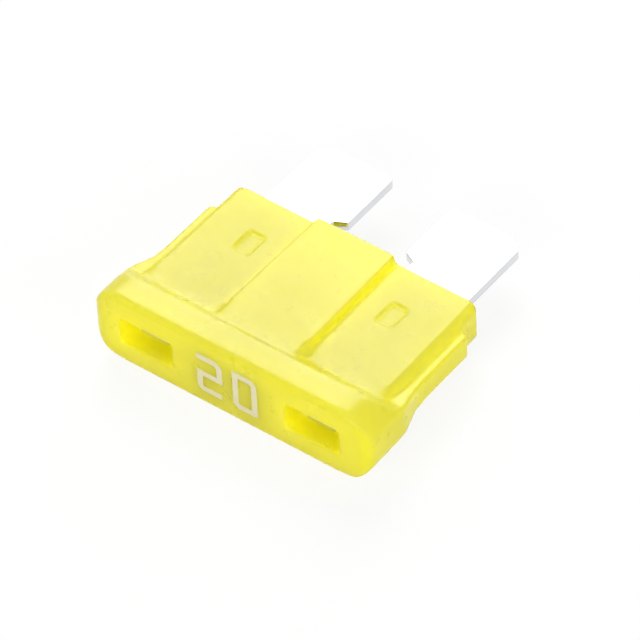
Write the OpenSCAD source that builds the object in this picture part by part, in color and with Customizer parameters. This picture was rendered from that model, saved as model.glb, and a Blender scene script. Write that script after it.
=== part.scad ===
// Plug-in blade fuse, regular size: a moulded plastic housing around one stamped metal strip.
// It lies flat: X is its width, +Y points to the blade tips and Z is its thickness.
// Lengths along Y are measured from the crown's end face. All sizes are in millimetres.

/* [Overall] */
// Length from the crown's end face to the blade tips
overall_l = 18.5; // [17.5:0.1:21]

/* [Crown] */
// Width of the crown
crown_w = 19.5; // [18.8:0.1:21]
// Thickness of the crown
crown_t = 5.1; // [4.9:0.1:6]
// Length of the crown's flat top
crown_top_l = 1.9; // [1.6:0.05:2.3]
// Slope of the crown's back face, in degrees
crown_back_slope = 44; // [40:1:55]
// Rounding of the crown's corners seen from above
crown_corner_r = 0.8; // [0.2:0.05:1]
// Rounding of the crown's edges at its two ends
crown_side_r = 2; // [1.4:0.05:2.4]
// Rounding of the long edges of the end face
crown_front_r = 0.4; // [0.1:0.05:0.6]
// Rounding of the crest where the top turns down to the body
crest_r = 0.8; // [0.3:0.05:1]
// Fillet at the foot of the crown's back face
foot_r = 0.4; // [0.2:0.05:0.6]

/* [Body] */
// Length from the crown's end face to the body's open end
body_l = 12.15; // [11.5:0.05:12.8]
// Width over the wings at the open end
body_w = 17; // [16.4:0.1:17.4]
// Thickness of the wings
wing_t = 2.84; // [2.5:0.02:3.1]
// Width of the raised panel at the open end
panel_w = 5.64; // [5.5:0.02:6.4]
// Thickness over the raised panels
panel_t = 3.96; // [3.6:0.02:4.2]
// Taper of the body's sides towards the open end, in degrees
body_draft = 0.8; // [0:0.1:1.2]
// Rounding of the wings' long edges
wing_edge_r = 0.5; // [0.1:0.05:0.7]
// Rounding of the panels' long edges
panel_edge_r = 0.2; // [0.1:0.05:0.4]
// Rounding of the open end's corners seen from above
end_corner_r = 0.25; // [0.1:0.05:0.8]

/* [Side rails] */
// Width over the two side rails at their free ends
rail_w = 18.35; // [17.9:0.05:18.6]
// Thickness of a rail along its straight stretch
rail_t = 1.6; // [1:0.1:1.8]
// Thickness of a rail at its root on the crown
rail_root_t = 2.2; // [1.9:0.1:2.3]
// Where a rail's flare to the crown ends
rail_flare_l = 5.3; // [4.6:0.1:6.5]
// Radius of the flare's two bends
rail_flare_r = 2; // [1:0.1:3]
// Where a rail stops
rail_l = 10.45; // [9:0.05:11]
// Rounding of a rail's free corner
rail_end_r = 0.45; // [0.2:0.05:0.6]

/* [Test windows] */
// Width of a window in the end face
window_w = 3.7; // [3:0.1:4.2]
// Height of a window
window_h = 1.9; // [1.5:0.1:2.2]
// Depth of a window
window_depth = 1.5; // [1.3:0.05:1.7]
// Distance between the middles of the two windows
window_pitch = 11.7; // [11.2:0.1:11.9]

/* [Stakes] */
// Width of a stake mark
stake_w = 1.14; // [0.8:0.02:1.6]
// Length of a stake mark
stake_l = 1.76; // [1.2:0.02:2.2]
// Depth of a stake mark in the wing
stake_depth = 0.2; // [0.1:0.05:0.4]
// Distance of a stake's middle from the fuse's middle
stake_x = 5.05; // [4.6:0.05:5.6]
// Distance of a stake's middle from the end face
stake_y = 8.65; // [7.5:0.05:9.8]
// Gap between the two plugs that meet inside a blade
stake_gap = 0.1; // [0.05:0.01:0.2]

/* [Link compartment] */
// Width of the compartment around the link
room_w = 4.6; // [4.4:0.05:4.8]
// Height of the compartment
room_h = 2.5; // [1.6:0.1:2.8]
// Where the compartment starts
room_start = 3.3; // [3.1:0.05:3.6]

/* [Fuse element] */
// Thickness of the stamped strip
strip_t = 0.65; // [0.5:0.01:0.8]
// Width of a blade
blade_w = 5.2; // [5.05:0.05:5.3]
// Distance between the middles of the two blades
blade_pitch = 9.3; // [9.2:0.05:9.6]
// Size across of the cut on a blade's outer tip corner
tip_cut_w = 0.9; // [0.4:0.05:1.4]
// Size along of the cut on a blade's outer tip corner
tip_cut_l = 0.76; // [0.4:0.02:1.4]
// Rounding of a blade's inner tip corner
tip_r = 0.35; // [0.1:0.05:0.8]
// Rounding of the strip's other corners
strip_r = 0.1; // [0.05:0.01:0.14]
// Where a blade's inner shoulder starts
shoulder_l = 14; // [13.4:0.1:15]
// Slant of the shoulder along the blade
shoulder_slant = 0.4; // [0.2:0.05:0.8]
// How far the strip is narrower inside the shoulder
shoulder_step = 0.8; // [0.5:0.05:0.95]
// Where the wide part of the strip starts
plate_start = 2.6; // [2.3:0.05:2.8]
// Where the test tab starts behind the end face
tab_start = 0.8; // [0.6:0.05:1.1]
// Width of a test tab
tab_w = 2; // [1.4:0.05:2.15]

/* [Fusible link] */
// Width of the link
link_w = 0.9; // [0.5:0.05:1]
// Thickness of the thinned link
link_t = 0.3; // [0.15:0.05:0.5]
// Distance between the link's runs
link_pitch = 1.7; // [1.5:0.05:1.75]
// Distance of the middle run from the end face
link_y = 5.9; // [5.75:0.05:7.5]
// Distance of the bends' middles from the fuse's middle
link_bend_x = 0.75; // [0.4:0.05:0.8]

/* [Clearances] */
// Clearance on each face of the strip in its slot
slot_gap = 0.06; // [0.02:0.01:0.12]
// Clearance at the strip's edges in its slot
edge_gap = 0.1; // [0.05:0.01:0.2]
// Clearance round a stake's plug in the blade
plug_gap = 0.1; // [0.05:0.01:0.2]

/* [Hidden] */
// Steps in each rounded corner
arc_steps = 8;
// Smallest thickness of a loft's end section
skin = 0.01;
// How far a cut runs past the face that it opens
past = 1;
blade_in = (blade_pitch - blade_w) / 2;
blade_out = (blade_pitch + blade_w) / 2;
neck_in = blade_in + shoulder_step;
slot_t = strip_t + 2 * slot_gap;
body_growth = 2 * tan(body_draft) * (body_l - crown_top_l);
rail_growth = 2 * tan(body_draft) * (rail_l - rail_flare_l);
tab_x = window_pitch / 2;
plug_h = (slot_t - stake_gap) / 2;
link_bend_r = (link_pitch + link_w) / 2;
housing_yellow = [0.97, 0.87, 0.14];
strip_silver = [0.8, 0.81, 0.82];

function unit(v) = v / norm(v);
function flat(p) = [p.x, p.y];
function mirrored(corners) = [for (i = [len(corners) - 1:-1:0]) [-corners[i].x, corners[i].y, corners[i].z]];
function upside_down(corners) = [for (i = [len(corners) - 1:-1:0]) [corners[i].x, -corners[i].y, corners[i].z]];
function short_turn(a, b) = b - a - 360 * round((b - a) / 360);

// Points of one corner [x, y, radius] between its neighbours, as an arc tangent to both sides
function corner_arc(before, corner, after) =
    let (
        u = unit(flat(before) - flat(corner)),
        w = unit(flat(after) - flat(corner)),
        half = acos(u * w) / 2,
        centre = flat(corner) + unit(u + w) * corner.z / sin(half),
        first = flat(corner) + u * corner.z / tan(half) - centre,
        last = flat(corner) + w * corner.z / tan(half) - centre,
        start = atan2(first.y, first.x),
        turn = short_turn(start, atan2(last.y, last.x))
    )
    [for (i = [0:arc_steps])
        let (angle = start + turn * i / arc_steps)
        centre + corner.z * [cos(angle), sin(angle)]];

// Closed outline through corners [x, y, radius], where a radius of 0 stays sharp
function rounded(corners) =
    let (n = len(corners))
    [for (i = [0:n - 1])
        let (corner = corners[i])
        each corner.z == 0
            ? [flat(corner)]
            : corner_arc(corners[(i + n - 1) % n], corner, corners[(i + 1) % n])];

module rounded_box(w, h, r) {
    polygon(rounded([[w / 2, h / 2, r], [-w / 2, h / 2, r], [-w / 2, -h / 2, r], [w / 2, -h / 2, r]]));
}

// Turns an outline drawn as (Y, Z) into a bar along X, centred
module along_x(length) {
    rotate([90, 0, 90]) linear_extrude(length, center = true) children();
}

// Turns an outline drawn as (X, Z) into a bar along Y
module along_y(start, end) {
    translate([0, end, 0]) rotate([90, 0, 0]) linear_extrude(end - start) children();
}

// Sets the fuse on its lowest face, with the middle of its outline at the origin
module place() {
    translate([0, -overall_l / 2, crown_t / 2]) children();
}

// Both sides of the fuse
module left_and_right() {
    children();
    mirror([1, 0, 0]) children();
}

// Crown and side rails seen from above
module rail_outline() {
    right = [
        [crown_w / 2, 0, crown_corner_r],
        [crown_w / 2, foot_l(rail_root_t), rail_flare_r],
        [(rail_w + rail_growth) / 2, rail_flare_l, rail_flare_r],
        [rail_w / 2, rail_l, rail_end_r]
    ];
    polygon(rounded(concat(right, mirrored(right))));
}

// Where the crown's back face meets a face of the given thickness
function foot_l(thickness) = crown_top_l + (crown_t - thickness) / 2 / tan(crown_back_slope);

// Crown and side rails seen from the side: each rail thins from its root on the crown
module rail_profile() {
    top = [
        [0, crown_t / 2, crown_front_r],
        [crown_top_l, crown_t / 2, crest_r],
        [foot_l(rail_root_t), rail_root_t / 2, foot_r],
        [rail_flare_l, rail_t / 2, rail_flare_r],
        [rail_l, rail_t / 2, 0]
    ];
    polygon(rounded(concat(top, upside_down(top))));
}

module crown_and_rails() {
    intersection() {
        linear_extrude(crown_t, center = true) rail_outline();
        along_y(0, rail_l) rounded_box(crown_w, crown_t, crown_side_r);
        along_x(crown_w) rail_profile();
    }
}

// Fillets along the foot of the crown's back face, on both faces of a bar of the given thickness
module foot_fillets(thickness, width) {
    crest = [crown_top_l, crown_t / 2];
    foot = [foot_l(thickness), thickness / 2, foot_r];
    bar_end = [body_l, thickness / 2];
    inward = -unit(unit(crest - flat(foot)) + unit(bar_end - flat(foot)));
    section = concat(corner_arc(crest, foot, bar_end), [flat(foot) + foot_r * inward]);
    for (face = [0, 1])
        mirror([0, 0, face]) along_x(width) polygon(section);
}

// Bar with rounded long edges that narrows from the crown to rounded corners at the open end
module drafted_bar(w, t, r, corner_r) {
    hull() {
        along_y(crown_top_l, crown_top_l + skin) rounded_box(w + body_growth, t, r);
        for (i = [0:arc_steps]) {
            angle = 90 * i / arc_steps;
            end = body_l - corner_r * (1 - sin(angle));
            along_y(end - skin, end) rounded_box(w - 2 * corner_r * (1 - cos(angle)), t, r);
        }
    }
}

// Slot that takes the strip from the open end, with a narrow way up to each window
module strip_slot() {
    linear_extrude(slot_t, center = true) {
        slot_w = 2 * (blade_out + edge_gap);
        translate([-slot_w / 2, plate_start - edge_gap]) square([slot_w, body_l + past - plate_start]);
        left_and_right() translate([tab_x - tab_w / 2 - edge_gap, tab_start])
            square([tab_w + 2 * edge_gap, plate_start - tab_start]);
    }
}

// Room for the link under the raised panels
module link_room() {
    translate([-room_w / 2, room_start, -room_h / 2]) cube([room_w, body_l + past - room_start, room_h]);
}

module window() {
    translate([(window_pitch - window_w) / 2, -past, -window_h / 2])
        cube([window_w, window_depth + past, window_h]);
}

// Block on a stake's place, between two heights above the middle plane
module stake_block(w, l, low, high) {
    translate([stake_x - w / 2, stake_y - l / 2, low]) cube([w, l, high - low]);
}

// Marks that the staking tool leaves in both faces of a wing
module stake_marks() {
    for (face = [0, 1])
        mirror([0, 0, face]) stake_block(stake_w, stake_l, wing_t / 2 - stake_depth, wing_t / 2 + past);
}

// Plastic pressed through the slot's walls into a blade, which holds the strip
module stake_plugs() {
    for (face = [0, 1])
        mirror([0, 0, face]) stake_block(stake_w, stake_l, slot_t / 2 - plug_h, slot_t / 2 + slot_gap);
}

module housing() {
    color(housing_yellow) place() {
        difference() {
            union() {
                crown_and_rails();
                drafted_bar(body_w, wing_t, wing_edge_r, end_corner_r);
                foot_fillets(wing_t, body_w - 2 * wing_edge_r);
                drafted_bar(panel_w, panel_t, panel_edge_r, panel_edge_r);
                foot_fillets(panel_t, panel_w - 2 * panel_edge_r);
            }
            strip_slot();
            link_room();
            left_and_right() window();
            left_and_right() stake_marks();
        }
        left_and_right() stake_plugs();
    }
}

// One blade with its neck and test tab
module blade_outline() {
    polygon(rounded([
        [blade_in, overall_l, tip_r],
        [blade_in, shoulder_l, strip_r],
        [neck_in, shoulder_l - shoulder_slant, strip_r],
        [neck_in, plate_start, strip_r],
        [tab_x - tab_w / 2, plate_start, strip_r],
        [tab_x - tab_w / 2, tab_start, strip_r],
        [tab_x + tab_w / 2, tab_start, strip_r],
        [tab_x + tab_w / 2, plate_start, strip_r],
        [blade_out, plate_start, strip_r],
        [blade_out, overall_l - tip_cut_l, strip_r],
        [blade_out - tip_cut_w, overall_l, strip_r]
    ]));
}

// Half of the S-shaped link: an outer run into a blade, a half-round bend and half of the middle run
module half_link() {
    translate([-link_bend_x, link_y + link_pitch / 2]) intersection() {
        difference() {
            circle(link_bend_r);
            circle(link_bend_r - link_w);
        }
        translate([-link_bend_r, -link_bend_r]) square([link_bend_r, 2 * link_bend_r]);
    }
    translate([-link_bend_x, link_y - link_w / 2]) square([link_bend_x, link_w]);
    translate([-link_bend_x, link_y + link_pitch - link_w / 2])
        square([link_bend_x + neck_in + strip_r, link_w]);
}

module fusible_link() {
    linear_extrude(link_t, center = true, $fn = 48) {
        half_link();
        translate([0, 2 * link_y]) rotate(180) half_link();
    }
}

module fuse_element() {
    color(strip_silver) place() {
        left_and_right() difference() {
            linear_extrude(strip_t, center = true) blade_outline();
            stake_block(stake_w + 2 * plug_gap, stake_l + 2 * plug_gap, -strip_t, strip_t);
        }
        fusible_link();
    }
}

housing();
fuse_element();
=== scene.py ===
# %% [markdown]
# # A plug-in blade fuse
# This small car fuse is two things: a shell moulded in translucent yellow plastic, and one
# stamped metal strip whose two flat ends stick out as blades. The CAD frame holds both at their
# real size, so this lesson doesn't model the fuse a second time. It gives both pieces the soft
# edges that moulding and stamping leave, then their finishes, the printed number, a floor and
# studio light.

# %% Load the frame
import math

import bpy
from mathutils import Matrix, Vector


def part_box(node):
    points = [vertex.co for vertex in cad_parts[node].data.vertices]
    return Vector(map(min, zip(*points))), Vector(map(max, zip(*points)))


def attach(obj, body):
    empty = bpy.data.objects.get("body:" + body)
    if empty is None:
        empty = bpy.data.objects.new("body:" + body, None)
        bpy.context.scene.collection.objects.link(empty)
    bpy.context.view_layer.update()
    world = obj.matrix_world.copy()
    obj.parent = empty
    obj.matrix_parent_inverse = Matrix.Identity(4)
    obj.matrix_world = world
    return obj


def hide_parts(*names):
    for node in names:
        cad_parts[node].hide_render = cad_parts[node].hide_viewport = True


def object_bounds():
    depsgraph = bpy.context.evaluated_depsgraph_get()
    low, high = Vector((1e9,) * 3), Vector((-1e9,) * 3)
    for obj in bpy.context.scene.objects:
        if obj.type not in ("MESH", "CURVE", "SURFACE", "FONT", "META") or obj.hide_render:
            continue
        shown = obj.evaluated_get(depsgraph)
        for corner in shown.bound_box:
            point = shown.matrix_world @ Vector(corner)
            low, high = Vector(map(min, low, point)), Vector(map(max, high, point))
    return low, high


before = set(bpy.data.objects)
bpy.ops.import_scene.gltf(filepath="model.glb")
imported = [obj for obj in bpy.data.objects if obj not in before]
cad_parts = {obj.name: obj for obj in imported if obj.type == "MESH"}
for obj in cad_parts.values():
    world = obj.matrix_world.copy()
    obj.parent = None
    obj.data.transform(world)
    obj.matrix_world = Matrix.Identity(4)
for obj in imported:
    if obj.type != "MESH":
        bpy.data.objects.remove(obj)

MM = 0.001
cad_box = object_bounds()
print("fuse in the CAD frame, mm:", [round(side / MM, 2) for side in cad_box[1] - cad_box[0]])

# %% [markdown]
# ## The camera
# The photograph was taken from above the right end of the crown with a long lens: edges that are
# parallel on the fuse stay nearly parallel in the picture. A camera could be turned by eye until
# the picture fits. Here its direction is written as an angle round the fuse and an angle above
# the floor, because both can be read off a part whose sizes are known. A small roll remains,
# since the fuse lies slightly askew in its picture.

# %% Camera
def direction_to(azimuth, elevation):
    """Unit vector from the fuse to a point at these angles in degrees; azimuth 0 is in front."""
    turn, rise = math.radians(azimuth), math.radians(elevation)
    flat = math.cos(rise)
    return Vector((math.sin(turn) * flat, -math.cos(turn) * flat, math.sin(rise)))


camera_aim = Vector((0.70, -1.66, 1.92)) * MM
camera_distance = 362.5 * MM
camera_azimuth, camera_elevation, camera_roll = 38.95, 45.44, -2.885

backward = direction_to(camera_azimuth, camera_elevation)
rightward = direction_to(camera_azimuth + 90, 0)
upward = backward.cross(rightward)
level = Matrix((rightward, upward, backward)).transposed()
turned = level @ Matrix.Rotation(math.radians(camera_roll), 3, "Z")

bpy.ops.object.select_all(action="DESELECT")
bpy.ops.object.camera_add(
    location=camera_aim + backward * camera_distance, rotation=turned.to_euler()
)
camera = bpy.context.object
camera.name = "photo_camera"
camera.data.sensor_width = 36
camera.data.lens = 360.5
bpy.context.scene.camera = camera
print("camera at, mm:", [round(c / MM, 1) for c in camera.location])

# %% [markdown]
# ## White surroundings
# The fuse was photographed on white paper in a light tent, so the picture has no horizon and
# hardly a shadow. Raising the lamps until the paper burns out would also wash out the yellow.
# A Light Path node keeps the two apart: the camera, reflections and clear plastic see a plain
# white of strength 1, while the light that falls on the fuse comes from a dimmer grey.

# %% World
bpy.context.scene.view_settings.view_transform = "Standard"


def seen_directly(tree):
    """Adds nodes that put out 1 for camera, mirror and see-through rays, and 0 for the rest."""
    path = tree.nodes.new("ShaderNodeLightPath")
    widest = path.outputs["Is Camera Ray"]
    for ray in ("Is Glossy Ray", "Is Transmission Ray"):
        either = tree.nodes.new("ShaderNodeMath")
        either.operation = "MAXIMUM"
        tree.links.new(widest, either.inputs[0])
        tree.links.new(path.outputs[ray], either.inputs[1])
        widest = either.outputs["Value"]
    return widest


ambient_strength = 0.15

tent = bpy.data.worlds.new("light_tent")
tent.use_nodes = True
bpy.context.scene.world = tent
nodes, links = tent.node_tree.nodes, tent.node_tree.links
nodes.clear()
ambient = nodes.new("ShaderNodeBackground")
ambient.inputs["Strength"].default_value = ambient_strength
ambient.inputs["Color"].default_value = (1, 1, 1, 1)
white = nodes.new("ShaderNodeBackground")
white.inputs["Color"].default_value = (1, 1, 1, 1)
choose = nodes.new("ShaderNodeMixShader")
links.new(seen_directly(tent.node_tree), choose.inputs["Fac"])
links.new(ambient.outputs["Background"], choose.inputs[1])
links.new(white.outputs["Background"], choose.inputs[2])
links.new(choose.outputs["Shader"], nodes.new("ShaderNodeOutputWorld").inputs["Surface"])
print("world:", tent.name, "ambient strength", ambient_strength)

# %% [markdown]
# ## Soft lamps
# The tops of the fuse look paler than its end face, and the blades look white. Both are signs of
# one large soft lamp behind the fuse, where the camera meets its reflection. A second soft lamp
# on the right lifts the sides that face it, and a third in front lights the end face and shines
# into the two windows. The slope behind the crown is seen almost edge-on and mirrors what lies
# low behind the fuse, so a fourth lamp stands there and makes the slope as pale as the tops.
# Square area lamps are used, because a lamp's size, and not only its power, decides how soft
# a highlight on satin plastic becomes.

# %% Lamps
lamp_distance = 0.45


def add_softbox(name, azimuth, elevation, size, watts):
    """Adds a square area lamp at these angles in degrees from the fuse, turned to face it."""
    direction = direction_to(azimuth, elevation)
    bpy.ops.object.light_add(
        type="AREA",
        location=camera_aim + direction * lamp_distance,
        rotation=direction.to_track_quat("Z", "Y").to_euler(),
    )
    lamp = bpy.context.object
    lamp.name = name
    lamp.data.size = size
    lamp.data.energy = watts
    return lamp


mirror_azimuth = camera_azimuth + 180
softboxes = [
    add_softbox("back_softbox", mirror_azimuth, camera_elevation, size=0.27, watts=1.05),
    add_softbox("right_softbox", 80, 20, size=0.25, watts=0.7),
    add_softbox("front_softbox", 8, 20, size=0.26, watts=0.88),
    add_softbox("low_softbox", 207, 14, size=0.2, watts=0.36),
]
print("lamps:", [(lamp.name, lamp.data.energy) for lamp in softboxes])

# %% [markdown]
# ## The floor
# White paper under the fuse. A plain white diffuse plane would turn grey wherever the lamps are
# weak, so the camera sees an even glow just short of white, and a little real diffuse paper is
# added to it. Where the fuse takes the lamps' light away, that small share is missing, and this
# is its soft shadow. All other rays meet ordinary paper, which throws white light back up at
# the sides of the fuse.

# %% Floor
paper_glow = 0.87
paper_shade = 0.17
paper_white = 0.9
floor_side = 3
floor_drop = 0.02 * MM

bpy.ops.object.select_all(action="DESELECT")
bpy.ops.mesh.primitive_plane_add(size=floor_side, location=(0, 0, -floor_drop))
floor = bpy.context.object
floor.name = "paper_floor"
bpy.ops.object.transform_apply(location=True, rotation=True, scale=True)
paper = bpy.data.materials.new("white_paper")
paper.use_nodes = True
nodes, links = paper.node_tree.nodes, paper.node_tree.links
nodes.clear()
diffuse = nodes.new("ShaderNodeBsdfDiffuse")
diffuse.inputs["Color"].default_value = (paper_white, paper_white, paper_white, 1)
glow = nodes.new("ShaderNodeEmission")
glow.inputs["Color"].default_value = (1, 1, 1, 1)
glow.inputs["Strength"].default_value = paper_glow
shadow = nodes.new("ShaderNodeBsdfDiffuse")
shadow.inputs["Color"].default_value = (paper_shade, paper_shade, paper_shade, 1)
shown = nodes.new("ShaderNodeAddShader")
links.new(glow.outputs["Emission"], shown.inputs[0])
links.new(shadow.outputs["BSDF"], shown.inputs[1])
choose = nodes.new("ShaderNodeMixShader")
links.new(seen_directly(paper.node_tree), choose.inputs["Fac"])
links.new(diffuse.outputs["BSDF"], choose.inputs[1])
links.new(shown.outputs["Shader"], choose.inputs[2])
links.new(choose.outputs["Shader"], nodes.new("ShaderNodeOutputMaterial").inputs["Surface"])
floor.data.materials.append(paper)
print("floor:", floor.name, "at", floor_drop / MM, "mm under the fuse")

# %% [markdown]
# ## The moulded housing
# The housing is one injection moulding: crown, ramp, raised panel, wings, side rails and the
# windows are a single skin of plastic, and no edge on it is truly sharp. Bevelling each edge
# would need clean edge loops, which a CAD mesh of loose triangles doesn't have. So a copy is
# merged and rebuilt from small voxels, which flow over all the joints at once, and a few rounds
# of smoothing soften the edges as the mould does. On a model in metres the Remesh modifier stops
# at voxels of a tenth of a millimetre, hardly finer than the ones used here. So the copy is
# worked on in millimetres, where there is room to choose, and then shrunk back.
#
# Some places on the real moulding differ from the rest, so each gets a vertex group on the upper
# and the lower skin, and a modifier that works on that group alone. The floors of the stake marks
# are raised, because the marks are fainter than the CAD makes them. Behind the crown and at its
# ends the plastic runs out in a softer sweep, so these places get many more rounds of smoothing.
# At the end the whole skin is drawn in by about a hundredth of a millimetre, so that the raised
# ink of the number has room inside the fuse's true size.

# %% Helpers for copied pieces
merge_distance = 0.0005 * MM


def select_only(piece):
    """Makes one piece the only selected one, and the active one."""
    bpy.ops.object.select_all(action="DESELECT")
    piece.select_set(True)
    bpy.context.view_layer.objects.active = piece


def copy_of_node(node_name, piece_name):
    """Copies a CAD node's mesh into a new piece, with its loose triangles merged."""
    piece = bpy.data.objects.new(piece_name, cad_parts[node_name].data.copy())
    bpy.context.scene.collection.objects.link(piece)
    piece.data.name = piece_name
    piece.data.materials.clear()
    select_only(piece)
    bpy.ops.object.mode_set(mode="EDIT")
    bpy.ops.mesh.select_all(action="SELECT")
    bpy.ops.mesh.remove_doubles(threshold=merge_distance)
    bpy.ops.object.mode_set(mode="OBJECT")
    return piece


def resize(piece, factor):
    """Scales a piece about the origin and applies the scale to its mesh."""
    select_only(piece)
    piece.scale = (factor, factor, factor)
    bpy.ops.object.transform_apply(location=False, rotation=False, scale=True)


def shape_with(piece, kind, name, **settings):
    """Adds a modifier with these settings and applies it."""
    select_only(piece)
    modifier = piece.modifiers.new(name, kind)
    for setting, value in settings.items():
        setattr(modifier, setting, value)
    bpy.ops.object.modifier_apply(modifier=name)


def triangle_count(piece):
    """Triangles in a piece's mesh."""
    piece.data.calc_loop_triangles()
    return len(piece.data.loop_triangles)


# %% Housing
voxel = 0.11
ink_allowance = 0.012
polish_rounds, crest_rounds, end_rounds = 6, 60, 30
middle_height, skin_height = 2.55, 1.2
anywhere = (-math.inf, math.inf)
crown_back_along = (-8.2, -5.2)
crown_end_across, crown_end_along = (7.6, math.inf), (-math.inf, -5.2)
stake_across, stake_along = (4.55, 5.55), (-1.4, 0.2)
stake_rise = 0.08


def group_skin(piece, name, across, along):
    """Groups the upper and lower skin in these ranges of distance from the middle and of Y."""
    group = piece.vertex_groups.new(name=name)
    group.add(
        [
            vertex.index
            for vertex in piece.data.vertices
            if across[0] < abs(vertex.co.x) < across[1]
            and along[0] < vertex.co.y < along[1]
            and abs(vertex.co.z - middle_height) > skin_height
        ],
        1,
        "ADD",
    )
    return group.name


def smooth(piece, name, rounds, group=""):
    """Smooths a piece, or only one of its vertex groups."""
    shape_with(piece, "SMOOTH", name, factor=0.5, iterations=rounds, vertex_group=group)


housing = copy_of_node("housing", "moulded_housing")
print("copied housing:", triangle_count(housing), "triangles")
resize(housing, 1 / MM)
shape_with(housing, "REMESH", "mould_skin", mode="VOXEL", voxel_size=voxel, adaptivity=0)
smooth(housing, "mould_polish", polish_rounds)
stake_marks = group_skin(housing, "stake_marks", stake_across, stake_along)
shape_with(
    housing, "DISPLACE", "shallow_stakes",
    strength=stake_rise, mid_level=0, vertex_group=stake_marks,
)
crown_back = group_skin(housing, "crown_back", anywhere, crown_back_along)
smooth(housing, "soft_crest", crest_rounds, crown_back)
crown_ends = group_skin(housing, "crown_ends", crown_end_across, crown_end_along)
smooth(housing, "soft_ends", end_rounds, crown_ends)
shape_with(housing, "DISPLACE", "ink_room", strength=-ink_allowance, mid_level=0)
print("remeshed housing:", triangle_count(housing), "triangles")
resize(housing, MM)
bpy.ops.object.shade_smooth()
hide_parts("housing")
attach(housing, "root")
print("finished housing:", triangle_count(housing), "triangles")

# %% [markdown]
# ## A shared finish: uneven surface
# No moulded or rolled surface is perfectly even. Its gloss drifts in soft patches that are
# a few tenths of a millimetre to a few millimetres wide. Plastic, metal and ink all need such
# patches, so they are one node group: a noise of a given size, stretched between two values.

# %% Uneven surface group
def make_uneven_surface():
    """Builds the shared group: a noise on given coordinates, between a low and a high value."""
    group = bpy.data.node_groups.new("uneven_surface", "ShaderNodeTree")
    group.interface.new_socket("Vector", in_out="INPUT", socket_type="NodeSocketVector")
    for socket in ("Scale", "Low", "High"):
        group.interface.new_socket(socket, in_out="INPUT", socket_type="NodeSocketFloat")
    group.interface.new_socket("Value", in_out="OUTPUT", socket_type="NodeSocketFloat")
    entry = group.nodes.new("NodeGroupInput")
    leave = group.nodes.new("NodeGroupOutput")
    noise = group.nodes.new("ShaderNodeTexNoise")
    noise.inputs["Detail"].default_value = 3
    spread = group.nodes.new("ShaderNodeMapRange")
    spread.inputs["From Min"].default_value = 0.3
    spread.inputs["From Max"].default_value = 0.7
    group.links.new(entry.outputs["Vector"], noise.inputs["Vector"])
    group.links.new(entry.outputs["Scale"], noise.inputs["Scale"])
    group.links.new(noise.outputs["Fac"], spread.inputs["Value"])
    group.links.new(entry.outputs["Low"], spread.inputs["To Min"])
    group.links.new(entry.outputs["High"], spread.inputs["To Max"])
    group.links.new(spread.outputs["Result"], leave.inputs["Value"])
    return group


uneven_surface = make_uneven_surface()


def add_uneven(tree, vector, scale, low, high):
    """Places the shared group in a material and returns its value."""
    node = tree.nodes.new("ShaderNodeGroup")
    node.node_tree = uneven_surface
    tree.links.new(vector, node.inputs["Vector"])
    node.inputs["Scale"].default_value = scale
    node.inputs["Low"].default_value = low
    node.inputs["High"].default_value = high
    return node.outputs["Value"]


def new_finish(name):
    """Makes a node material and returns it with its shader and its object coordinates."""
    finish = bpy.data.materials.new(name)
    finish.use_nodes = True
    shader = finish.node_tree.nodes["Principled BSDF"]
    place = finish.node_tree.nodes.new("ShaderNodeTexCoord")
    return finish, shader, place.outputs["Object"]


def blend_colours(tree, factor, first, second):
    """Mixes two colours by a factor and returns the mixed colour."""
    mix = tree.nodes.new("ShaderNodeMix")
    mix.data_type = "RGBA"
    tree.links.new(factor, mix.inputs["Factor"])
    mix.inputs["A"].default_value = (*first, 1)
    mix.inputs["B"].default_value = (*second, 1)
    return mix.outputs["Result"]


def add_bump(tree, height, distance, strength):
    """Turns a height into a bumped normal."""
    bump = tree.nodes.new("ShaderNodeBump")
    bump.inputs["Distance"].default_value = distance
    bump.inputs["Strength"].default_value = strength
    tree.links.new(height, bump.inputs["Height"])
    return bump.outputs["Normal"]


print("group:", uneven_surface.name, [item.name for item in uneven_surface.interface.items_tree])

# %% [markdown]
# ## Yellow plastic
# The housing is dyed nylon: strongly yellow, satin, and cloudy enough to let light creep a few
# millimetres under the surface, which fills shadows with deeper yellow. A plain diffuse
# yellow would look like paint. Subsurface scattering gives the glow. Its Christensen-Burley
# method spreads light over nearby surfaces, also across a thin wall or into a small recess, where
# the random-walk method leaves the windows too dark. The roughness and a very low bump vary in
# patches, as on the skin of a real moulding.

# %% Plastic finish
plastic, shader, place = new_finish("satin_yellow_nylon")
tree = plastic.node_tree
tint = add_uneven(tree, place, scale=500, low=0, high=1)
tree.links.new(
    blend_colours(tree, tint, (0.95, 0.87, 0.02), (0.96, 0.885, 0.028)),
    shader.inputs["Base Color"],
)
gloss = add_uneven(tree, place, scale=900, low=0.26, high=0.36)
tree.links.new(gloss, shader.inputs["Roughness"])
skin = add_uneven(tree, place, scale=2500, low=0, high=1)
tree.links.new(
    add_bump(tree, skin, distance=0.002 * MM, strength=0.4), shader.inputs["Normal"]
)
shader.inputs["IOR"].default_value = 1.53
shader.inputs["Specular IOR Level"].default_value = 0.4
shader.subsurface_method = "BURLEY"
shader.inputs["Subsurface Weight"].default_value = 1
shader.inputs["Subsurface Radius"].default_value = (1.0, 1.0, 0.2)
shader.inputs["Subsurface Scale"].default_value = 3 * MM
housing.data.materials.append(plastic)
print("plastic finish:", plastic.name, len(tree.nodes), "nodes")

# %% [markdown]
# ## The metal strip
# Both blades, the tabs in the windows and the thin link between them are one stamping. The punch
# rolls its edges over by a few hundredths of a millimetre, and that narrow rounding is
# what catches the light along a blade. The copy's coplanar triangles are first dissolved into
# clean faces, so that a Bevel modifier can round only the real edges. A Weighted Normal modifier
# then lets the large flat faces set the shading, so that a mirror-like blade stays flat, and only
# after that are the faces cut into triangles.

# %% Metal strip
stamped_edge = 0.06

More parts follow.
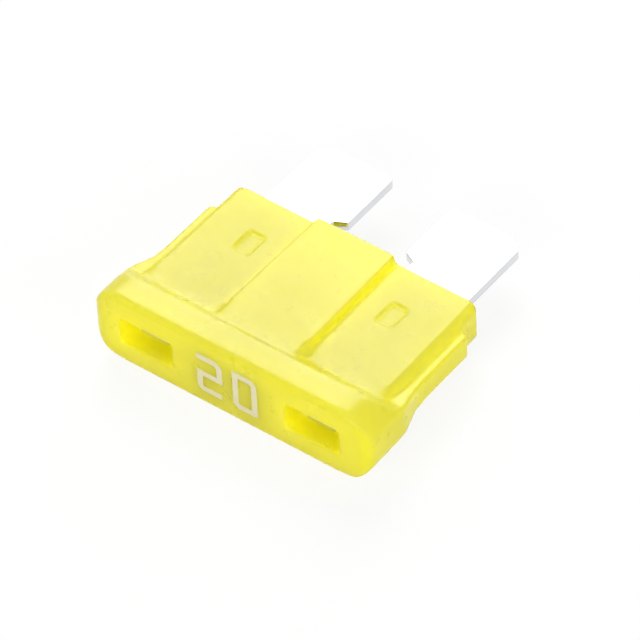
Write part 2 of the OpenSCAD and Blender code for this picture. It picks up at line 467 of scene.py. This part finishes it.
strip = copy_of_node("fuse_element", "stamped_strip")
resize(strip, 1 / MM)
bpy.ops.object.mode_set(mode="EDIT")
bpy.ops.mesh.select_all(action="SELECT")
bpy.ops.mesh.dissolve_limited(angle_limit=math.radians(0.5))
bpy.ops.object.mode_set(mode="OBJECT")
shape_with(
    strip, "BEVEL", "punched_edges", width=stamped_edge, segments=3,
    limit_method="ANGLE", angle_limit=math.radians(50),
)
resize(strip, MM)
bpy.ops.object.shade_smooth()
shape_with(strip, "WEIGHTED_NORMAL", "even_shading", keep_sharp=False)
shape_with(strip, "TRIANGULATE", "whole_triangles", min_vertices=4, keep_custom_normals=True)
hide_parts("fuse_element")
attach(strip, "root")
print("finished strip:", triangle_count(strip), "triangles")

# %% [markdown]
# ## Bright rolled metal
# The strip is zinc alloy with a bright tin plating. Rolling leaves very fine lines along its
# length, so a highlight is drawn out a little across them. The lines are a noise squeezed
# across the strip by a Mapping node, and they drive both the roughness and a faint bump.

# %% Metal finish
metal, shader, place = new_finish("bright_tinned_strip")
tree = metal.node_tree
squeeze = tree.nodes.new("ShaderNodeMapping")
squeeze.inputs["Scale"].default_value = (1, 0.03, 1)
tree.links.new(place, squeeze.inputs["Vector"])
lines = add_uneven(tree, squeeze.outputs["Vector"], scale=9000, low=0, high=1)
cloud = add_uneven(tree, place, scale=400, low=0, high=1)
tree.links.new(
    blend_colours(tree, cloud, (0.7, 0.71, 0.73), (0.76, 0.77, 0.79)),
    shader.inputs["Base Color"],
)
gloss = add_uneven(tree, squeeze.outputs["Vector"], scale=6000, low=0.09, high=0.16)
tree.links.new(gloss, shader.inputs["Roughness"])
tree.links.new(
    add_bump(tree, lines, distance=0.0004 * MM, strength=0.3), shader.inputs["Normal"]
)
shader.inputs["Metallic"].default_value = 1
strip.data.materials.append(metal)
print("metal finish:", metal.name, len(tree.nodes), "nodes")

# %% [markdown]
# ## The printed number
# Such a fuse carries its current rating as a plain number on the end face of the crown, printed
# in pale ink. The digits are drawn as one pen line each: a path through the middle of the
# stroke, given a round section and then pressed almost flat. At a corner the section sits across
# the bend, so its radius grows by the bend's secant, which keeps the stroke's width even.

# %% Printed number
stroke = 0.39
ink_height = 0.0156
digits = {
    "two": ([(-2.21, 1.23), (-0.87, 1.23), (-0.61, 0.97), (-0.61, -0.02), (-2.02, -0.02),
             (-2.02, -1.04), (-1.84, -1.23), (-0.5, -1.23)], False),
    "zero": ([(0.5, 1.23), (1.56, 1.23), (1.82, 0.97), (1.82, -1.23), (0.69, -1.23),
              (0.5, -1.04)], True),
}
end_face_y = cad_box[0].y + ink_allowance * MM
middle_z = sum(corner.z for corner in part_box("housing")) / 2


def corner_radius(before, here, after):
    """How much wider the section is at a bend than along the straight stroke."""
    bend = (here - before).angle(after - here)
    return 1 / math.cos(bend / 2)


def draw_digit(name, points, closed):
    """Draws one digit in the ground plane, in millimetres, as a round tube made a mesh."""
    bpy.ops.object.select_all(action="DESELECT")
    bpy.ops.curve.primitive_nurbs_path_add(location=(0, 0, 0))
    pen = bpy.context.object
    pen.name = name
    line = pen.data.splines[0]
    line.type = "POLY"
    line.points.add(len(points) - len(line.points))
    path = [Vector((x, z, 0)) for x, z in points]
    for i, point in enumerate(path):
        line.points[i].co = (*point, 1)
        inside = closed or 0 < i < len(path) - 1
        around = path[i - 1], point, path[(i + 1) % len(path)]
        line.points[i].radius = corner_radius(*around) if inside else 1
    line.use_cyclic_u = closed
    pen.data.bevel_depth = stroke / 2
    pen.data.bevel_resolution = 3
    pen.data.use_fill_caps = True
    bpy.ops.object.convert(target="MESH")
    return bpy.context.object


drawn = [draw_digit(name, *shape) for name, shape in digits.items()]
for digit in drawn:
    digit.select_set(True)
bpy.context.view_layer.objects.active = drawn[0]
bpy.ops.object.join()
number = bpy.context.object
number.name = number.data.name = "rating_number"
print("number drawn:", triangle_count(number), "triangles")

# %% Number set on the end face
number.scale = (MM, MM, ink_height / stroke * MM)
bpy.ops.object.transform_apply(location=False, rotation=False, scale=True)
number.rotation_euler = (math.radians(90), 0, 0)
number.location = (0, end_face_y, middle_z)
bpy.ops.object.transform_apply(location=True, rotation=True, scale=False)
bpy.ops.object.mode_set(mode="EDIT")
bpy.ops.mesh.select_all(action="SELECT")
bpy.ops.mesh.remove_doubles(threshold=merge_distance)
bpy.ops.mesh.normals_make_consistent(inside=False)
bpy.ops.object.mode_set(mode="OBJECT")
bpy.ops.object.shade_smooth_by_angle(angle=math.radians(40))
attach(number, "root")
print("number spans, mm:", [round(side / MM, 2) for side in number.dimensions])

# %% [markdown]
# ## Pale ink
# The number is stamped on with a cream-coloured ink that is duller than the plastic and not quite
# even. It could be white, but on the real fuse the yellow beneath warms it. Its colour and its
# roughness drift with the shared group, in patches finer than those of the plastic.

# %% Ink finish
ink, shader, place = new_finish("pale_ink")
tree = ink.node_tree
thin = add_uneven(tree, place, scale=3500, low=0, high=1)
tree.links.new(
    blend_colours(tree, thin, (0.93, 0.87, 0.58), (0.88, 0.81, 0.50)),
    shader.inputs["Base Color"],
)
gloss = add_uneven(tree, place, scale=2500, low=0.45, high=0.6)
tree.links.new(gloss, shader.inputs["Roughness"])
number.data.materials.append(ink)
print("ink finish:", ink.name, len(tree.nodes), "nodes")
